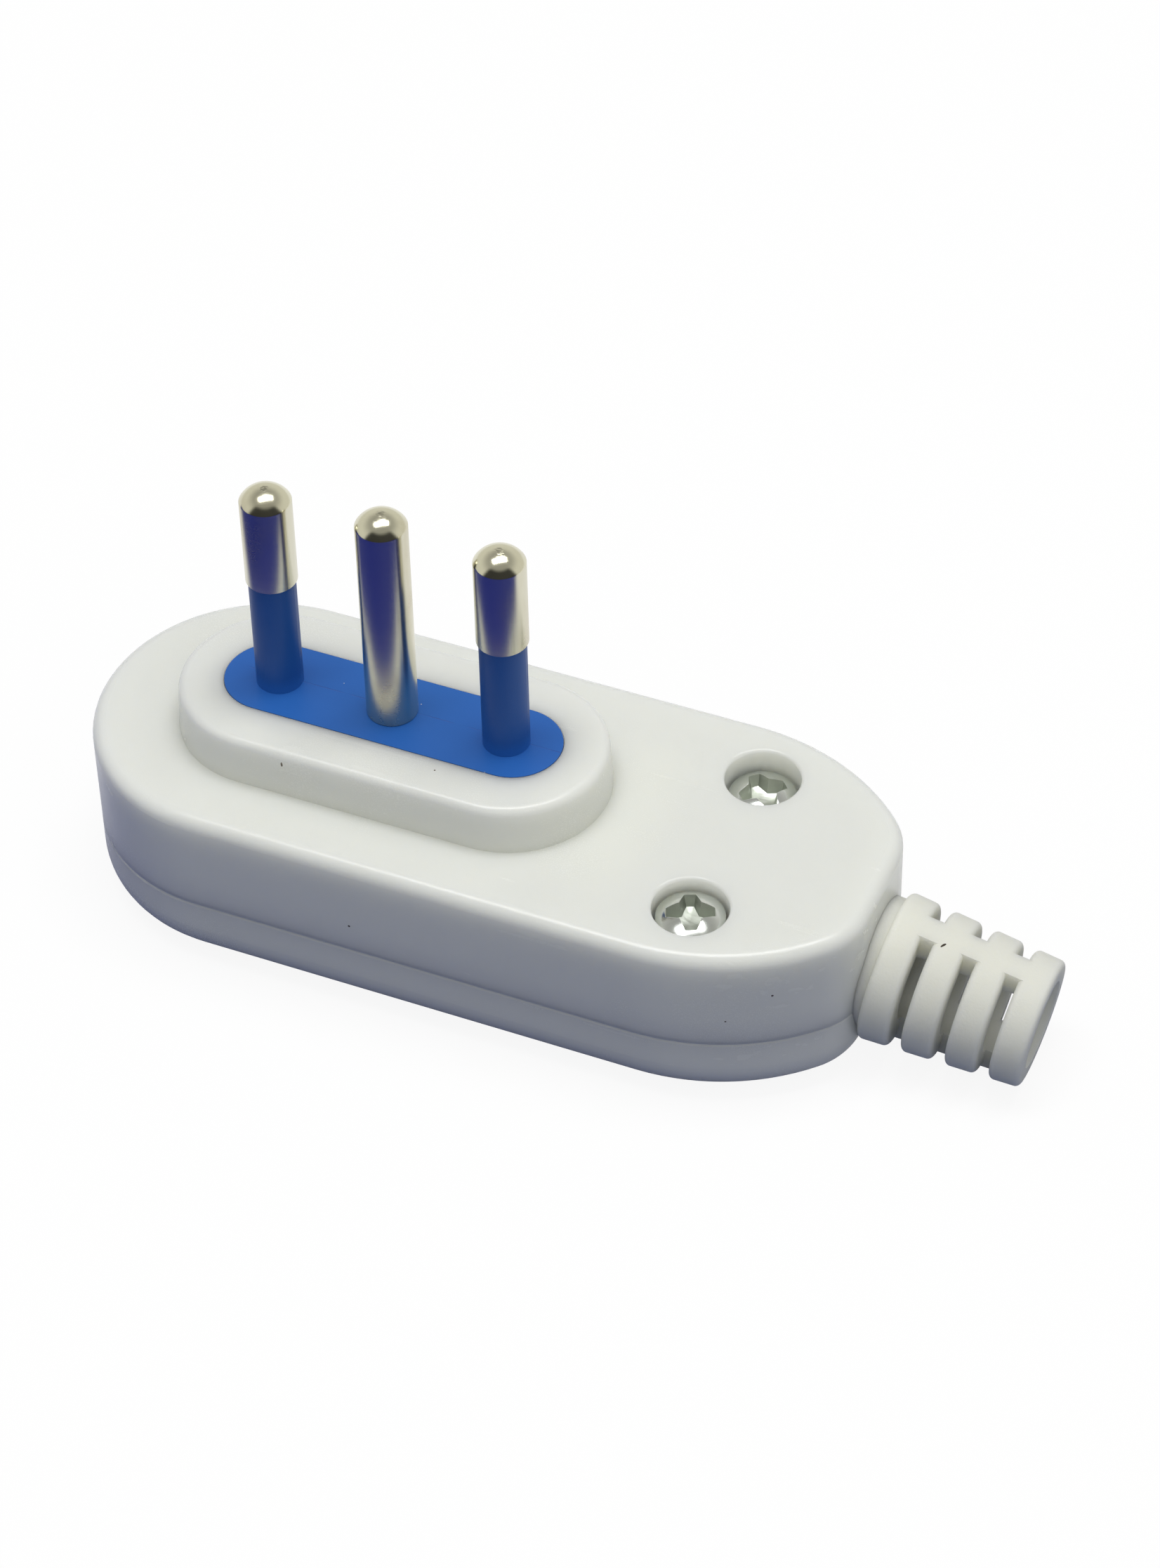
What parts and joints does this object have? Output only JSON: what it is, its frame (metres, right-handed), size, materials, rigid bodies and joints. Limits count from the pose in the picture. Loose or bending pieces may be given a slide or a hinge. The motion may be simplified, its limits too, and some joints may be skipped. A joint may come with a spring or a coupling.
{
  "type": "electrical plug",
  "caption": "Flat side-entry mains plug with round pins in a row, sleeved outer pins, screwed two-shell case and slotted cord guard.",
  "frame": {"origin": "centre of the earth pin on the face that meets the socket", "axes": "+Z along the pins, away from the case; +X along the pin row towards the cord end; +Y across the case"},
  "size_m": [0.0782, 0.0264, 0.0388],
  "materials": {
    "housing_white": "smooth moulded thermoplastic with a soft shine",
    "insert_blue": "smooth moulded, slightly glossy",
    "pin_nickel": "bright nickel plate",
    "screw_zinc": "bright zinc plate",
    "guard_white": "satin flexible moulding",
    "grip_white": "plain moulded"
  },
  "bodies": {
    "root": {"base_shell": "housing_white", "cover_shell": "housing_white", "pin_carrier": "insert_blue", "cord_guard": "guard_white", "cord_grip_bar": "grip_white", "neutral_pin": "pin_nickel", "neutral_terminal_screw": "screw_zinc", "earth_pin": "pin_nickel", "earth_terminal_screw": "screw_zinc", "live_pin": "pin_nickel", "live_terminal_screw": "screw_zinc", "housing_screw_left": "screw_zinc", "housing_nut_left": "screw_zinc", "cord_grip_screw_left": "screw_zinc", "housing_screw_right": "screw_zinc", "housing_nut_right": "screw_zinc", "cord_grip_screw_right": "screw_zinc"}
  },
  "joints": []
}
